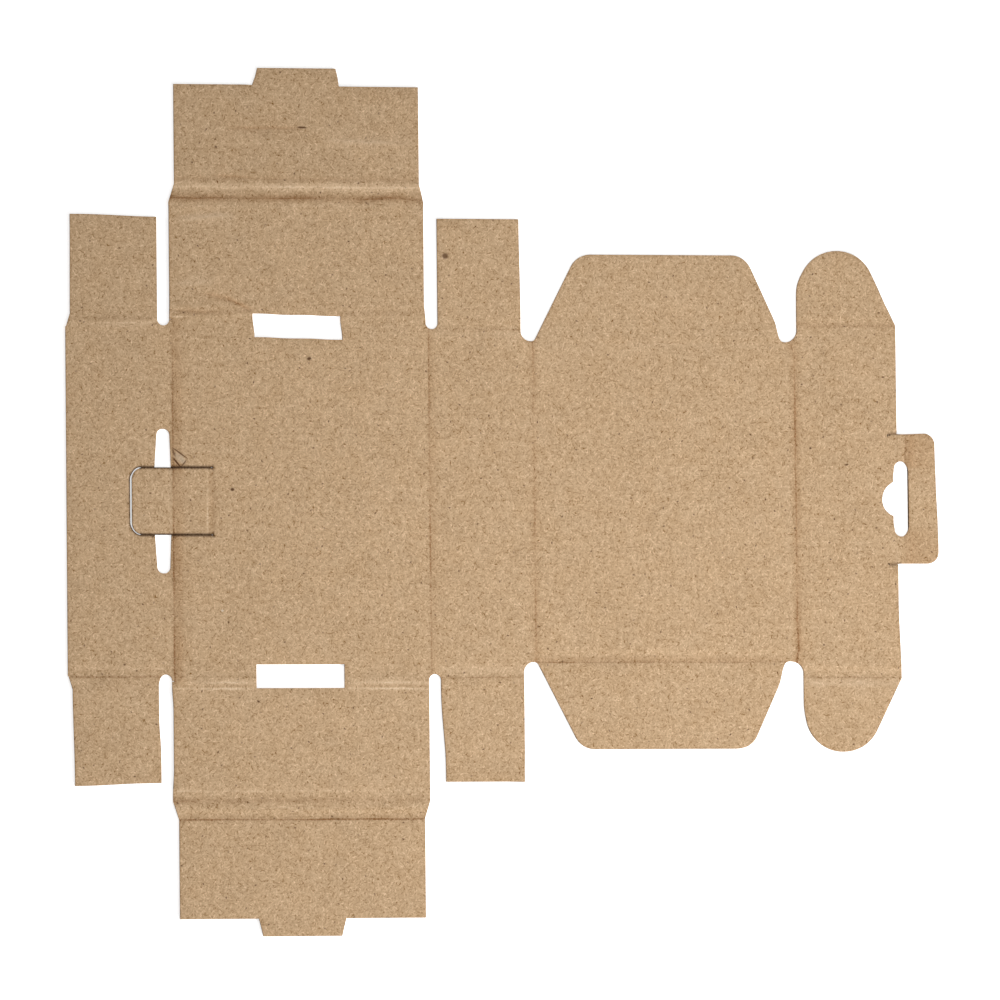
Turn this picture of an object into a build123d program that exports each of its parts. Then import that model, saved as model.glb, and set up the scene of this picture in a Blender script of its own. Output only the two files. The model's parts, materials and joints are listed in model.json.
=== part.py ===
from build123d import *
from dataclasses import dataclass
from math import ceil, floor, radians, sin
import os

# Corrugated packaging box, lying open and flat as one die-cut blank, inside face up.
# X runs from the front wall over the base and the back wall to the lid and its tuck panel.
# Y runs across the box, with its left side at +Y. Z points up out of the inside face.
# The origin is the middle of the base panel, on its underside. All sizes are in millimetres.

# Board: a fluted paper glued between two liners, flutes along X
outside_liner = 0.25
flute_height = 1.10
inside_liner = 0.25
medium_thickness = 0.20
flute_pitch = 3.30
glue_land_share = 0.22

# Fold lines: the inside face is pressed down to the outside liner on both sides of the line
crease_set_back = 1.60
crease_foot = 0.30

# Main panels
base_length = 109.6
base_width = 154.4
back_wall_height = 44.9
outer_wall_height = 49.0
inner_wall_height = 41.6

# Fits of the closed box: each panel goes inside its neighbour with these clearances
nest_gap = 0.25
rim_slack = 1.30
lid_side_gap = 0.75
front_wall_gap = 0.45
tuck_stand_off = 3.40
lid_slope = 1.0  # degrees that the closed lid rises towards the front

# Side walls, seen along X
side_wall_front_lap = 0.90
side_wall_back_inset = 1.20
inner_wall_back_inset = 3.50

# Side tabs and the base slots that take them
tab_width = 37.0
tab_taper = 1.80
tab_side_gap = 0.30
tab_shift = 1.20
slot_inner_gap = 0.55
slot_outer_reach = 1.50

# Corner notches at the ends of the side walls
notch_width = 5.25
notch_bite = 0.60

# Corner flaps on the front and back walls
front_flap_length = 46.0
back_flap_length = 45.4
flap_step = 2.0
flap_step_run = 6.50
flap_step_lead = 1.0

# Slanted notches beside the lid flaps
back_notch_inset = 5.30
back_notch_slant_x = 0.50
front_notch_offset = 2.40
front_notch_slant_x = 4.30
slanted_notch_bite = 0.30
notch_wide_radius_share = 0.74
notch_tight_radius_share = 0.36
back_slant_share = 0.51
front_slant_share = 0.455

# Lid flaps and tuck ears
lid_flap_length = 36.65
lid_flap_radius = 9.20
ear_length = 31.3
ear_slant_share = 0.492
ear_round_share = 0.61

# Lock tab, cut free from the base and the front wall
lock_tab_width = 28.0
lock_tab_root = 15.4
lock_tip_length = 17.6
lock_tip_radius = 4.90
slit_width = 0.40
tip_gap = 0.60
slit_overrun = 1.50

# Front slot, through which the tongue goes in
front_slot_start = 0.75
front_slot_height = 7.05
slot_end_narrowing_inside = 0.60
slot_end_narrowing_outside = 1.10
slot_end_radius = 2.60

# Tongue on the edge of the tuck panel, and the euro slot across its bridge
tongue_width = 55.2
tongue_length = 12.5
tongue_radius = 4.80
tongue_side_gap = 2.80
tongue_slit_width = 0.50
tongue_slit_depth = 3.50
tuck_edge_lap = 1.60
lock_side_gap = 2.00
euro_slot_lap = 0.20
euro_slot_end_radius = 2.90
euro_slot_bump_radius = 8.00

cut_overrun = 2.0

# Worked out from the sizes above: heights inside the board
board = outside_liner + flute_height + inside_liner
fold_depth = board - outside_liner
flute_floor = outside_liner
inside_floor = outside_liner + flute_height

# Worked out: fold lines across the blank, along X
front_fold = -base_length / 2
back_fold = base_length / 2
lid_length = base_length + tuck_stand_off
lid_fold = back_fold + back_wall_height
tuck_fold = lid_fold + lid_length
lid_rise = lid_length * sin(radians(lid_slope))
front_rise = base_length * sin(radians(lid_slope))
front_wall_height = back_wall_height + front_rise - fold_depth - front_wall_gap
front_edge = front_fold - front_wall_height
front_slot_middle = front_slot_start + front_slot_height / 2
bridge_drop = back_wall_height + lid_rise - front_slot_middle
bridge_fold = tuck_fold + bridge_drop
bridge_length = tuck_stand_off + 2 * fold_depth + nest_gap
tongue_fold = bridge_fold + bridge_length
tuck_edge = bridge_fold + tuck_edge_lap

# Worked out: fold lines along the blank, at +Y
side_fold = base_width / 2
ear_fold = side_fold - board - nest_gap
flap_fold = ear_fold - board - nest_gap
rim_width = side_fold - flap_fold + 2 * fold_depth + rim_slack
rim_fold = side_fold + outer_wall_height
inner_fold = rim_fold + rim_width
inner_edge = inner_fold + inner_wall_height
tab_length = outer_wall_height - inner_wall_height
lid_flap_fold = side_fold - rim_width - 2 * outside_liner - lid_side_gap

# Worked out: ends of the side walls
outer_front = front_fold - side_wall_front_lap
outer_back = back_fold - side_wall_back_inset
inner_front = front_fold + fold_depth + nest_gap
inner_back = back_fold - inner_wall_back_inset
notch_top = side_fold + outer_wall_height

LEFT = 1
RIGHT = -1


@dataclass
class Fold:
    """One fold line of a panel: its two ends, and the way from the line into the panel."""

    start: tuple
    end: tuple
    into: tuple
    pressed: bool = True


def fold_across(x, y_low, y_high, side, pressed=True):
    """Fold line parallel to Y; side is +1 where the panel lies on its +X side."""
    return Fold((x, y_low), (x, y_high), (side, 0), pressed)


def fold_along(y, x_low, x_high, side):
    """Fold line parallel to X; side is +1 where the panel lies on its +Y side."""
    return Fold((x_low, y), (x_high, y), (0, side))


def rectangle(x_low, x_high, y_low, y_high):
    """Flat rectangle between two places along X and two along Y, in either order."""
    middle = ((x_low + x_high) / 2, (y_low + y_high) / 2)
    return Pos(*middle) * Rectangle(abs(x_high - x_low), abs(y_high - y_low))


def rounded_face(corners):
    """Flat face from (x, y, radius) corners. A radius of zero leaves the corner sharp."""
    face = make_face(Polyline([(x, y) for x, y, _ in corners], close=True))
    for x, y, radius in corners:
        if radius > 0:
            corner = face.vertices().sort_by_distance((x, y, 0))[0]
            face = fillet(corner, radius)
    return face


def slab(face, bottom, thickness):
    """Flat layer with the outline of the face, standing on the height of its bottom."""
    return extrude(Pos(0, 0, bottom) * face, amount=thickness, dir=(0, 0, 1))


def crease_band(fold):
    """Strip of the panel beside a fold line, from which the upper layers are pressed away."""
    x_shift = fold.into[0] * crease_set_back
    y_shift = fold.into[1] * crease_set_back
    far_x = fold.end[0] + x_shift
    far_y = fold.end[1] + y_shift
    return rectangle(fold.start[0], far_x, fold.start[1], far_y)


def along_fold(fold, points):
    """Bar along a fold line, its section given as (distance into the panel, height) points."""
    start = Vector(*fold.start, 0)
    end = Vector(*fold.end, 0)
    into = Vector(*fold.into, 0)
    section = Plane(origin=(start + end) / 2, x_dir=into, z_dir=into.cross(Vector(0, 0, 1)))
    profile = make_face(Polyline(points, close=True))
    return extrude(section * profile, amount=(end - start).length / 2, both=True)


def pressed_slope(fold):
    """Inside liner pressed down beside a fold line, from its own level to the outside liner."""
    foot_run = (crease_set_back - crease_foot) * inside_liner / fold_depth
    points = [
        (crease_set_back, board),
        (crease_set_back, inside_floor),
        (crease_foot + foot_run, outside_liner),
        (crease_foot, outside_liner),
    ]
    return along_fold(fold, points)


def pressed_space(fold):
    """Space that the crease leaves open above the pressed liner."""
    points = [
        (0, outside_liner),
        (crease_foot, outside_liner),
        (crease_set_back, board),
        (0, board),
    ]
    return along_fold(fold, points)


def flute_profile(y_low, y_high):
    """Wavy section of the fluted paper over a stretch of Y, flat where it is glued."""
    land = glue_land_share * flute_pitch
    crest = flute_height - medium_thickness
    lower = []
    for index in range(floor(y_low / flute_pitch), ceil(y_high / flute_pitch) + 1):
        y = index * flute_pitch
        crest_y = y + flute_pitch / 2
        lower.append((y - land / 2, flute_floor))
        lower.append((y + land / 2, flute_floor))
        lower.append((crest_y - land / 2, flute_floor + crest))
        lower.append((crest_y + land / 2, flute_floor + crest))
    upper = [(y, z + medium_thickness) for y, z in reversed(lower)]
    return make_face(Polyline(lower + upper, close=True))


def fluting(face):
    """Fluted paper of one panel: the wave runs on through the whole blank."""
    box = face.bounding_box()
    wave_start = Plane.YZ.offset(box.min.X - cut_overrun)
    wave = extrude(wave_start * flute_profile(box.min.Y, box.max.Y), box.size.X + 2 * cut_overrun)
    return wave & slab(face, flute_floor, flute_height)


def board_layers(outline, folds):
    """Outside liner, fluting and inside liner of one panel that folds towards its inside."""
    flat = outline
    for fold in folds:
        flat -= crease_band(fold)
    outer = slab(outline, 0, outside_liner)
    inner = slab(flat, inside_floor, inside_liner)
    panel_space = slab(outline, 0, board)
    pressed_folds = [fold for fold in folds if fold.pressed]
    for fold in pressed_folds:
        inner += pressed_slope(fold) & panel_space
    for fold in pressed_folds:
        inner -= pressed_space(fold)
    return {"outside_liner": outer, "fluting": fluting(flat), "inside_liner": inner}


def corner_notch(x_low, side):
    """Cut beside a side wall, with a round end that bites into the wall or the base."""
    radius = notch_width / 2
    x_middle = x_low + radius
    end_y = flap_fold - notch_bite + radius
    shaft = rectangle(x_low, x_low + notch_width, side * end_y, side * notch_top)
    return shaft + Pos(x_middle, side * end_y) * Circle(radius)


def slanted_notch(straight_x, slanted_x, slant, side):
    """Cut between a straight flap edge and a slanted one, with a round bottom."""
    bottom = lid_flap_fold - slanted_notch_bite
    rise = notch_top - bottom
    bottom_width = abs(straight_x - slanted_x)
    corners = [
        (straight_x, side * notch_top, 0),
        (straight_x, side * bottom, notch_wide_radius_share * bottom_width),
        (slanted_x, side * bottom, notch_tight_radius_share * bottom_width),
        (slanted_x + slant * rise, side * notch_top, 0),
    ]
    return rounded_face(corners)


def back_slanted_notch(side):
    """Slanted notch between a back corner flap and a lid flap."""
    straight_x = lid_fold - back_notch_inset
    slanted_x = lid_fold + back_notch_slant_x
    return slanted_notch(straight_x, slanted_x, back_slant_share, side)


def front_slanted_notch(side):
    """Slanted notch between a lid flap and a tuck ear."""
    straight_x = tuck_fold + front_notch_offset
    slanted_x = tuck_fold - front_notch_slant_x
    return slanted_notch(straight_x, slanted_x, -front_slant_share, side)


def front_corner_notch(side):
    """Corner notch between a front corner flap and the side wall."""
    return corner_notch(outer_front - notch_width, side)


def back_corner_notch(side):
    """Corner notch between the side wall and a back corner flap."""
    return corner_notch(outer_back, side)


def base_slot(side):
    """Slot for the side tab, from inside the base to just past the side fold line."""
    half = tab_width / 2 + tab_side_gap
    inner_y = side_fold - rim_width - outside_liner - slot_inner_gap
    outer_y = side_fold + slot_outer_reach
    return rectangle(-tab_shift - half, -tab_shift + half, side * inner_y, side * outer_y)


def lock_opening():
    """Opening that the lock tab leaves: its own outline with the width of the slits."""
    half = lock_tab_width / 2 + slit_width
    tip_x = front_fold - lock_tip_length - tip_gap
    root_x = front_fold + lock_tab_root
    corner = lock_tip_radius + slit_width
    corners = [(tip_x, half, corner), (root_x, half, 0), (root_x, -half, 0), (tip_x, -half, corner)]
    opening = rounded_face(corners)
    for side in (LEFT, RIGHT):
        slit_inner = side * lock_tab_width / 2
        opening += rectangle(root_x, root_x + slit_overrun, slit_inner, side * half)
    return opening


def front_slot():
    """Slot in the front wall for the tongue, narrower towards its round ends."""
    half = tongue_width / 2 + tongue_side_gap
    shoulder = lock_tab_width / 2 + slit_width
    near = front_fold - front_slot_start
    far = near - front_slot_height
    near_end = near - slot_end_narrowing_inside
    far_end = far + slot_end_narrowing_outside
    corners = [
        (near, shoulder, 0),
        (near_end, half, slot_end_radius),
        (far_end, half, slot_end_radius),
        (far, shoulder, 0),
        (far, -shoulder, 0),
        (far_end, -half, slot_end_radius),
        (near_end, -half, slot_end_radius),
        (near, -shoulder, 0),
    ]
    return rounded_face(corners)


def euro_slot():
    """Long slot across the tongue's bridge, with a round finger notch on the tuck panel's side."""
    half = lock_tab_width / 2 + lock_side_gap
    near = bridge_fold - euro_slot_lap
    far = tongue_fold + euro_slot_lap
    middle_x = (near + far) / 2
    radius = euro_slot_end_radius
    corners = [(near, half), (far, half), (far, -half), (near, -half)]
    slot = rounded_face([(x, y, radius) for x, y in corners])
    bump = Pos(middle_x, 0) * Circle(euro_slot_bump_radius)
    bump_side = rectangle(middle_x - 2 * euro_slot_bump_radius, middle_x, -half, half)
    return slot + (bump & bump_side)


def base_panel():
    """Base: between the front, back and side fold lines."""
    outline = rectangle(front_fold, back_fold, -side_fold, side_fold)
    folds = []
    slot_start = -tab_shift - tab_width / 2 - tab_side_gap
    slot_end = -tab_shift + tab_width / 2 + tab_side_gap
    shoulder = lock_tab_width / 2 + slit_width
    for side in (LEFT, RIGHT):
        toe_y = side * (side_fold - fold_depth)
        outline += rectangle(outer_front, front_fold, toe_y, side * side_fold)
        outline -= back_corner_notch(side)
        outline -= base_slot(side)
        folds.append(fold_along(side * side_fold, outer_front, slot_start, -side))
        folds.append(fold_along(side * side_fold, slot_end, outer_back, -side))
        folds.append(fold_across(front_fold, side * shoulder, side * ear_fold, 1))
    outline -= lock_opening()
    folds.append(fold_across(back_fold, -flap_fold, flap_fold, -1))
    return outline, folds


def front_wall_panel():
    """Front wall, with the front slot and the opening that the lock tab leaves."""
    outline = rectangle(front_edge, front_fold, -flap_fold, flap_fold)
    toe_y = side_fold - fold_depth - nest_gap
    toe_x = outer_front - notch_width / 2
    outline += rectangle(toe_x, front_fold, -toe_y, toe_y)
    folds = []
    slot_half = tongue_width / 2 + tongue_side_gap
    for side in (LEFT, RIGHT):
        outline -= front_corner_notch(side)
        folds.append(fold_along(side * flap_fold, front_edge, toe_x, -side))
        folds.append(fold_across(front_fold, side * slot_half, side * toe_y, -1))
    outline -= front_slot()
    outline -= lock_opening()
    folds.append(fold_across(front_fold, -slot_half, slot_half, -1, pressed=False))
    return outline, folds


def front_flap_panel():
    """Left front corner flap, stepped in from the wall's free edge."""
    end_y = flap_fold + front_flap_length
    lead_y = flap_fold - flap_step_lead
    lead_share = flap_step_lead / flap_step_run
    start_x = front_edge + flap_step * lead_share
    step_x = front_edge + flap_step
    step_y = lead_y + flap_step_run
    root_x = outer_front - notch_width / 2
    edge = [
        (start_x, flap_fold),
        (step_x, step_y),
        (step_x, end_y),
        (root_x, end_y),
        (root_x, flap_fold),
    ]
    outline = make_face(Polyline(edge, close=True)) - front_corner_notch(LEFT)
    folds = [fold_along(flap_fold, front_edge, root_x, 1)]
    return outline, folds


def back_wall_panel():
    """Back wall, between the base and the lid."""
    outline = rectangle(back_fold, lid_fold, -flap_fold, flap_fold)
    folds = [
        fold_across(back_fold, -flap_fold, flap_fold, 1),
        fold_across(lid_fold, -lid_flap_fold, lid_flap_fold, -1),
    ]
    notch_x = lid_fold - back_notch_inset
    for side in (LEFT, RIGHT):
        outline -= back_corner_notch(side)
        outline -= back_slanted_notch(side)
        folds.append(fold_along(side * flap_fold, outer_back + notch_width / 2, notch_x, -side))
    return outline, folds


def back_flap_panel():
    """Left back corner flap."""
    root_x = outer_back + notch_width / 2
    far_x = lid_fold - back_notch_inset
    outline = rectangle(root_x, far_x, flap_fold, flap_fold + back_flap_length)
    outline -= back_corner_notch(LEFT)
    folds = [fold_along(flap_fold, root_x, far_x, 1)]
    return outline, folds


def outer_wall_panel():
    """Left outer side wall, between the base and the rim."""
    outline = rectangle(outer_front, outer_back, side_fold, rim_fold) - base_slot(LEFT)
    folds = [
        fold_along(side_fold, outer_front, outer_back, 1),
        fold_along(rim_fold, outer_front, outer_back, -1),
    ]
    return outline, folds


def rim_panel():
    """Left rim: the narrow strip between the outer and the inner side wall."""
    corners = [
        (outer_front, rim_fold, 0),
        (outer_back, rim_fold, 0),
        (inner_back, inner_fold, 0),
        (inner_front, inner_fold, 0),
    ]
    folds = [
        fold_along(rim_fold, outer_front, outer_back, 1),
        fold_along(inner_fold, inner_front, inner_back, -1),
    ]
    return rounded_face(corners), folds


def inner_wall_panel():
    """Left inner side wall, with the tab that drops into the base slot."""
    wall = rectangle(inner_front, inner_back, inner_fold, inner_edge)
    half = tab_width / 2
    tip_half = half - tab_taper
    tip_y = inner_edge + tab_length
    tab = rounded_face(
        [
            (-tab_shift - half, inner_edge, 0),
            (-tab_shift + half, inner_edge, 0),
            (-tab_shift + tip_half, tip_y, 0),
            (-tab_shift - tip_half, tip_y, 0),
        ]
    )
    folds = [fold_along(inner_fold, inner_front, inner_back, 1)]
    return wall + tab, folds


def lid_panel():
    """Lid, between the back wall and the tuck panel."""
    outline = rectangle(lid_fold, tuck_fold, -lid_flap_fold, lid_flap_fold)
    shoulder_x = tuck_fold - front_notch_slant_x
    outline += rectangle(shoulder_x, tuck_fold, -flap_fold, flap_fold)
    folds = [
        fold_across(lid_fold, -lid_flap_fold, lid_flap_fold, 1),
        fold_across(tuck_fold, -flap_fold, flap_fold, -1),
    ]
    for side in (LEFT, RIGHT):
        outline -= back_slanted_notch(side)
        outline -= front_slanted_notch(side)
        folds.append(fold_along(side * lid_flap_fold, lid_fold, shoulder_x, -side))
    return outline, folds


def lid_flap_panel():
    """Left lid flap, with slanted ends and round outer corners."""
    end_y = lid_flap_fold + lid_flap_length
    outline = rectangle(lid_fold, tuck_fold - front_notch_slant_x, lid_flap_fold, end_y)
    outline -= back_slanted_notch(LEFT)
    outline -= front_slanted_notch(LEFT)
    outline = fillet(outline.vertices().group_by(Axis.Y)[-1], lid_flap_radius)
    folds = [fold_along(lid_flap_fold, lid_fold, tuck_fold - front_notch_slant_x, 1)]
    return outline, folds


def tuck_panel():
    """Tuck panel, which closes outside the front wall."""
    outline = rectangle(tuck_fold, tuck_edge, -ear_fold, ear_fold)
    half = tongue_width / 2
    outline -= rectangle(bridge_fold, tuck_edge, -half, half)
    outline -= euro_slot()
    folds = [
        fold_across(tuck_fold, -flap_fold, flap_fold, 1),
        fold_across(bridge_fold, -half, half, -1),
    ]
    for side in (LEFT, RIGHT):
        outline -= front_slanted_notch(side)
        slit_y = side * (half + tongue_slit_width)
        outline -= rectangle(tuck_edge - tongue_slit_depth, tuck_edge, side * half, slit_y)
        folds.append(fold_along(side * ear_fold, tuck_fold + front_notch_offset, tuck_edge, -side))
    return outline, folds


def ear_panel():
    """Left tuck ear, round at its outer end and slanted towards the tuck panel's edge."""
    near_x = tuck_fold + front_notch_offset
    slanted_x = tuck_edge - ear_slant_share * ear_length
    radius = ear_round_share * (slanted_x - near_x)
    end_y = ear_fold + ear_length
    corners = [
        (near_x, ear_fold, 0),
        (near_x, end_y, radius),
        (slanted_x, end_y, radius),
        (tuck_edge, ear_fold, 0),
    ]
    folds = [fold_along(ear_fold, near_x, tuck_edge, 1)]
    return rounded_face(corners), folds


def bridge_panel():
    """Bridge of the tongue: two short strips, one on each side of the euro slot."""
    half = tongue_width / 2
    outline = rectangle(bridge_fold, tongue_fold, -half, half) - euro_slot()
    folds = [fold_across(bridge_fold, -half, half, 1), fold_across(tongue_fold, -half, half, -1)]
    return outline, folds


def tongue_panel():
    """Tongue that hooks up behind the front wall."""
    half = tongue_width / 2
    end_x = tongue_fold + tongue_length
    corners = [
        (tongue_fold, half, 0),
        (end_x, half, tongue_radius),
        (end_x, -half, tongue_radius),
        (tongue_fold, -half, 0),
    ]
    folds = [fold_across(tongue_fold, -half, half, 1)]
    return rounded_face(corners) - euro_slot(), folds


def lock_tip_panel():
    """Round-cornered end of the lock tab, beyond the front fold line."""
    half = lock_tab_width / 2
    tip_x = front_fold - lock_tip_length
    corners = [
        (front_fold, half, 0),
        (tip_x, half, lock_tip_radius),
        (tip_x, -half, lock_tip_radius),
        (front_fold, -half, 0),
    ]
    return rounded_face(corners), [fold_across(front_fold, -half, half, -1)]


def lock_tab_layers():
    """Root of the lock tab. It folds down at the base, so there its inside liner is the hinge."""
    half = lock_tab_width / 2
    root_x = front_fold + lock_tab_root
    outline = rectangle(front_fold, root_x, -half, half)
    tip_fold = fold_across(front_fold, -half, half, 1)
    root_band = crease_band(fold_across(root_x, -half, half, -1))
    layers = board_layers(outline, [tip_fold])
    layers["outside_liner"] = slab(outline - root_band, 0, outside_liner)
    layers["fluting"] = fluting(outline - root_band - crease_band(tip_fold))
    return layers


def base_layers():
    """Base layers, with the board opened from below where the lock tab's root folds down."""
    outline, folds = base_panel()
    layers = board_layers(outline, folds)
    half = lock_tab_width / 2 + slit_width
    root_x = front_fold + lock_tab_root
    relief = slab(crease_band(fold_across(root_x, -half, half, 1)), 0, inside_floor)
    layers["outside_liner"] -= relief
    layers["fluting"] -= relief
    return layers


def write(name, shape):
    """One STEP file for one named sub-part."""
    export_step(shape, f"parts/{name}.step")


def write_layers(name, layers):
    """Three files for a panel: one for each layer of its board."""
    for layer, solid in layers.items():
        write(f"{name}_{layer}", solid)


def write_board(name, layers):
    """One file for a narrow panel, which holds its three layers as separate solids."""
    solids = [solid for layer in layers.values() for solid in layer.solids()]
    write(f"{name}_board", Compound(children=solids))


def mirrored(layers):
    """The same layers on the right side of the box."""
    return {layer: mirror(solid, about=Plane.XZ) for layer, solid in layers.items()}


os.makedirs("parts", exist_ok=True)

write_layers("base", base_layers())
write_layers("front_wall", board_layers(*front_wall_panel()))
write_layers("back_wall", board_layers(*back_wall_panel()))
write_layers("lid", board_layers(*lid_panel()))
write_layers("tuck_panel", board_layers(*tuck_panel()))

side_panels = {
    "front_{}_flap": front_flap_panel,
    "back_{}_flap": back_flap_panel,
    "{}_outer_wall": outer_wall_panel,
    "{}_inner_wall": inner_wall_panel,
    "lid_{}_flap": lid_flap_panel,
    "tuck_{}_ear": ear_panel,
}
for name, panel in side_panels.items():
    left_layers = board_layers(*panel())
    write_layers(name.format("left"), left_layers)
    write_layers(name.format("right"), mirrored(left_layers))

left_rim = board_layers(*rim_panel())
write_board("left_rim", left_rim)
write_board("right_rim", mirrored(left_rim))
write_board("tongue_bridge", board_layers(*bridge_panel()))
write_board("tongue", board_layers(*tongue_panel()))
write_board("lock_tab", lock_tab_layers())
write_board("lock_tip", board_layers(*lock_tip_panel()))
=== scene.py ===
import json
import math
from dataclasses import dataclass, field

import bmesh
import bpy
import numpy as np
from mathutils import Matrix, Vector, geometry, kdtree, noise

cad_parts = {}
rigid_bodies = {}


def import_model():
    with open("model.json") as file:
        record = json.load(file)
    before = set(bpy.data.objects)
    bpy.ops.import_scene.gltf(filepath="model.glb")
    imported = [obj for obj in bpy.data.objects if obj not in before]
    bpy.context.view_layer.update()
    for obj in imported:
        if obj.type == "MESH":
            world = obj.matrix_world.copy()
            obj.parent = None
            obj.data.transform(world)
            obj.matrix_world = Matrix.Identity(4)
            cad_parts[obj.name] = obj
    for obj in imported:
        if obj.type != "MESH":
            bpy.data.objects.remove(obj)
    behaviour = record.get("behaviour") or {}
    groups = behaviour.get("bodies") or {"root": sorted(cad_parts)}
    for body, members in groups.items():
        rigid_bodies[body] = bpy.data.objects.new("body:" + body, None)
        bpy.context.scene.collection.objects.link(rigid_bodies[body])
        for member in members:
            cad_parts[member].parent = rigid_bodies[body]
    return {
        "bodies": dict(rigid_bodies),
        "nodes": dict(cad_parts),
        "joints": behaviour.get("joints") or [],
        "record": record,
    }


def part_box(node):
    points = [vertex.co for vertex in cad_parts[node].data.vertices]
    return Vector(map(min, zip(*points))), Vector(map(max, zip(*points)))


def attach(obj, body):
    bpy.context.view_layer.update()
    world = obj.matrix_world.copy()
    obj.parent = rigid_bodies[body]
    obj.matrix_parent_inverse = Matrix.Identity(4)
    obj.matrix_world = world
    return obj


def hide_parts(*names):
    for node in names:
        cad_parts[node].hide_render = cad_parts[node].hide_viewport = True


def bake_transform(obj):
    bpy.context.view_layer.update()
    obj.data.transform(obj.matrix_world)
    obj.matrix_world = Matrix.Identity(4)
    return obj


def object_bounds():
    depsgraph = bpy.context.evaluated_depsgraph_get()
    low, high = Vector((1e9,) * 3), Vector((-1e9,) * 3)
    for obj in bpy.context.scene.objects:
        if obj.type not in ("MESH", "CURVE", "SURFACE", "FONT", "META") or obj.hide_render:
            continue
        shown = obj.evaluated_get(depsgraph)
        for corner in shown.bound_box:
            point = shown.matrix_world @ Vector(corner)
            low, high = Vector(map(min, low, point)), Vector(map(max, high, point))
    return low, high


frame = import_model()
cad_low, cad_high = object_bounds()

# The blank lies in the XY plane, inside face up. Lengths on it are in millimetres until a mesh is
# made, and MM turns them into metres. The table, the lamps and the camera are placed in metres.
MM = 0.001
LINER = 0.25
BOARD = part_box("base_inside_liner")[1].z / MM
TOLERANCE = 0.002

# Within the first distance of a fold line the board is closed; out to the second, the crease has
# mesh rows, and its triangles on the parent's side go with the child panel
FOLD_HALF = 1.6
FOLD_REACH = 2.6

# Spacing of the mesh. Rows run beside cut edges at these distances, and beside steps, marks and
# wrinkles at these shares of their softness or half width.
CUT_STEP = 1.5
CUT_ROWS = (0.3, 0.9)
FOLD_STEP = 1.8
STEP_ROWS = (-1.7, -0.7, 0, 0.7, 1.7)
MARK_ROWS = (-1.3, 0, 1.3)
CREASE_ROOM = 0.12
WRINKLE_STEP = 0.9
WRINKLE_ROWS = (-1.6, -0.8, 0, 0.8, 1.6)
WRINKLE_ROOM = 0.3
ROW_GAP = 0.2
FIELD_STEP = 4.5
FLUTE_STEP = 9.0
CLOSEST_SHARE = 0.55
EDGE_SAMPLE = 0.25

# Crushed cut edges, and how near a slit's edge the paper is painted dark, for its crushed edges
# and the painted shade in the slit
CRUSH_DEPTH = 0.12
CRUSH_REACH = 0.35
CRUSH_BELOW = 0.05
SLIT_REACH = 0.37

# The slow unevenness of the inside face: length along X and Y, seed and share of each wave
UNEVEN = 0.055
UNEVEN_WAVES = ((52, 11, 3.3, 1), (15, 15, 8.1, 0.5))

LAYERS = ("outside_liner", "fluting", "inside_liner")


def bell(values, width):
    """1 where a value is zero, falling off smoothly over the width on both sides."""
    return np.exp(-((values / width) ** 2))


@dataclass
class Step:
    """A rise or drop of the surface across a crease: where it is, how high and how soft."""

    place: float
    rise: float
    soft: float


@dataclass
class Mark:
    """A line along a crease: darker above zero, paler below. As a mark it is crushed and scuffed paper
    with painted shade and painted light in it; as a shade it is painted shade, painted light below zero.
    """

    place: float
    half_width: float
    amount: float

    def profile(self, s):
        return bell(s - self.place, self.half_width)


@dataclass
class Style:
    """How one crease looks: its steps, its ragged marks of crushed and scuffed paper with painted shade
    and painted light, its soft painted shades and painted light, how far it wanders, and its strength
    at its two ends."""

    steps: tuple
    marks: tuple
    shades: tuple
    wander: float = 0.16
    ends: tuple = (1.0, 1.0)
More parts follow.
